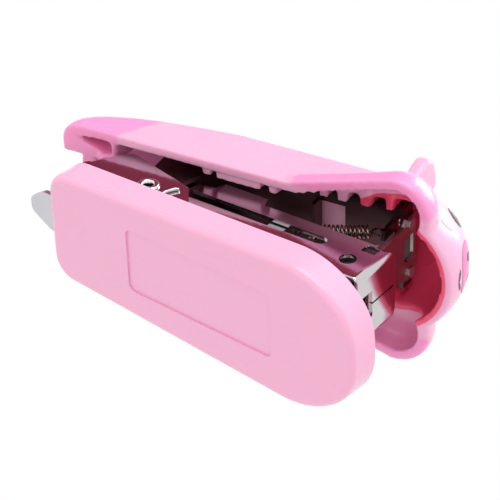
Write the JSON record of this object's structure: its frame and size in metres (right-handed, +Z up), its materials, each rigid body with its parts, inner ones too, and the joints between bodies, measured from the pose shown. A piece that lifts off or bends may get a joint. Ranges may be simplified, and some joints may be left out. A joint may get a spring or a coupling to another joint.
{
  "type": "mini stapler",
  "caption": "Small desk stapler whose moulded cover is a piglet lying flat; cover and magazine hinge on one pin over an anvil base.",
  "frame": {"origin": "on the underside of the base, on the centre line, straight under the hinge pin", "axes": "+X from the hinge to the nose, +Y to the stapler's left, +Z up from the desk"},
  "size_m": [0.0674, 0.0316, 0.0362],
  "materials": {
    "base_shell": "smooth gloss, pale pink",
    "cover_shell": "smooth gloss, pale pink with deeper pink ends",
    "base_bracket": "bright plated",
    "anvil_plate": "bright plated",
    "anvil_rivets": "satin",
    "bracket_screws": "satin",
    "remover_blade": "satin",
    "remover_rivet": "satin",
    "hinge_pin": "bright plated",
    "hinge_sleeve": "satin",
    "return_spring": "drawn wire",
    "magazine_channel": "bright plated",
    "staple_rail": "satin",
    "rail_rivet": "satin",
    "staples": "drawn wire, bright",
    "pusher": "satin",
    "pusher_spring": "drawn wire, dark",
    "handle_frame": "dark satin",
    "driver_blade": "dark satin",
    "driver_rivets": "satin"
  },
  "bodies": {
    "base": {"base_shell": "base_shell", "base_bracket": "base_bracket", "anvil_plate": "anvil_plate", "anvil_rivets": "anvil_rivets", "bracket_screws": "bracket_screws", "remover_blade": "remover_blade", "remover_rivet": "remover_rivet", "hinge_pin": "hinge_pin", "return_spring": "return_spring"},
    "magazine": {"magazine_channel": "magazine_channel", "hinge_sleeve": "hinge_sleeve", "staple_rail": "staple_rail", "rail_rivet": "rail_rivet", "staples": "staples"},
    "pusher": {"pusher": "pusher"},
    "cover": {"cover_shell": "cover_shell", "handle_frame": "handle_frame", "driver_blade": "driver_blade", "driver_rivets": "driver_rivets", "pusher_spring": "pusher_spring"}
  },
  "joints": [
    {"name": "magazine_hinge", "type": "hinge", "parent": "base", "child": "magazine", "pos_m": [0, 0, 0.0081], "axis": [0, 1, 0], "range_deg": [0, 5.2], "stiffness_Nm_per_rad": 0.03, "springref_deg": -22.92, "deforming": ["return_spring"]},
    {"name": "cover_hinge", "type": "hinge", "parent": "magazine", "child": "cover", "pos_m": [0, 0, 0.0081], "axis": [0, 1, 0], "range_deg": [-18, 11], "stiffness_Nm_per_rad": 0.25, "deforming": ["pusher_spring"]},
    {"name": "pusher_slide", "type": "slide", "parent": "magazine", "child": "pusher", "axis": [0.9963, 0, 0.0854], "range_m": [-0.0106, 0], "stiffness_N_per_m": 20, "springref_m": 0.02}
  ]
}
